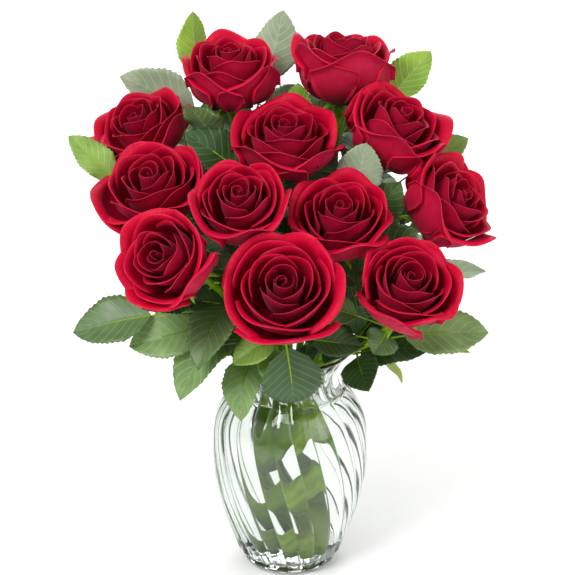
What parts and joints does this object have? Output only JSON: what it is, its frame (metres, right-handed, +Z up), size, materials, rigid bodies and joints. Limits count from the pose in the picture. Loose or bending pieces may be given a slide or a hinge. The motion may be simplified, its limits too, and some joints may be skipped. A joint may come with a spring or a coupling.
{
  "type": "roses in a vase",
  "caption": "Cut red roses with their foliage, standing in water in a swirled clear glass vase with a round shoulder, narrow neck and flared lip.",
  "frame": {"origin": "centre of the vase's flat underside", "axes": "+Z up along the vase's axis; -Y towards the side that most blooms face; +X to the right seen from that side"},
  "size_m": [0.3298, 0.2962, 0.4302],
  "materials": {
    "vase_glass": "clear, very faintly green, swirled optic ribs, polished",
    "water": "clear water",
    "stem_green": "fresh green stem, faint sheen, a few thorns",
    "petal_red": "velvety crimson petals with lighter rolled edges",
    "leaf_green": "dark green semi-gloss upper side, pale grey-green matt underside, toothed edge"
  },
  "bodies": {
    "root": {"vase": "vase_glass", "water": "water", "rose_01_stem": "stem_green", "rose_01_bloom": "petal_red", "rose_02_stem": "stem_green", "rose_02_bloom": "petal_red", "rose_03_stem": "stem_green", "rose_03_bloom": "petal_red", "rose_04_stem": "stem_green", "rose_04_bloom": "petal_red", "rose_05_stem": "stem_green", "rose_05_bloom": "petal_red", "rose_06_stem": "stem_green", "rose_06_bloom": "petal_red", "rose_07_stem": "stem_green", "rose_07_bloom": "petal_red", "rose_08_stem": "stem_green", "rose_08_bloom": "petal_red", "rose_09_stem": "stem_green", "rose_09_bloom": "petal_red", "rose_10_stem": "stem_green", "rose_10_bloom": "petal_red", "rose_11_stem": "stem_green", "rose_11_bloom": "petal_red", "rose_12_stem": "stem_green", "rose_12_bloom": "petal_red", "leaf_01": "leaf_green", "leaf_02": "leaf_green", "leaf_03": "leaf_green", "leaf_04": "leaf_green", "leaf_05": "leaf_green", "leaf_06": "leaf_green", "leaf_07": "leaf_green", "leaf_08": "leaf_green", "leaf_09": "leaf_green", "leaf_10": "leaf_green", "leaf_11": "leaf_green", "leaf_12": "leaf_green", "leaf_13": "leaf_green", "leaf_14": "leaf_green", "leaf_15": "leaf_green", "leaf_16": "leaf_green", "leaf_17": "leaf_green", "leaf_18": "leaf_green", "leaf_19": "leaf_green", "leaf_20": "leaf_green", "leaf_21": "leaf_green", "leaf_22": "leaf_green", "leaf_23": "leaf_green", "leaf_24": "leaf_green", "leaf_25": "leaf_green", "leaf_26": "leaf_green", "leaf_27": "leaf_green", "leaf_28": "leaf_green", "leaf_29": "leaf_green", "leaf_30": "leaf_green", "leaf_31": "leaf_green", "leaf_32": "leaf_green", "leaf_33": "leaf_green", "leaf_34": "leaf_green"}
  },
  "joints": []
}
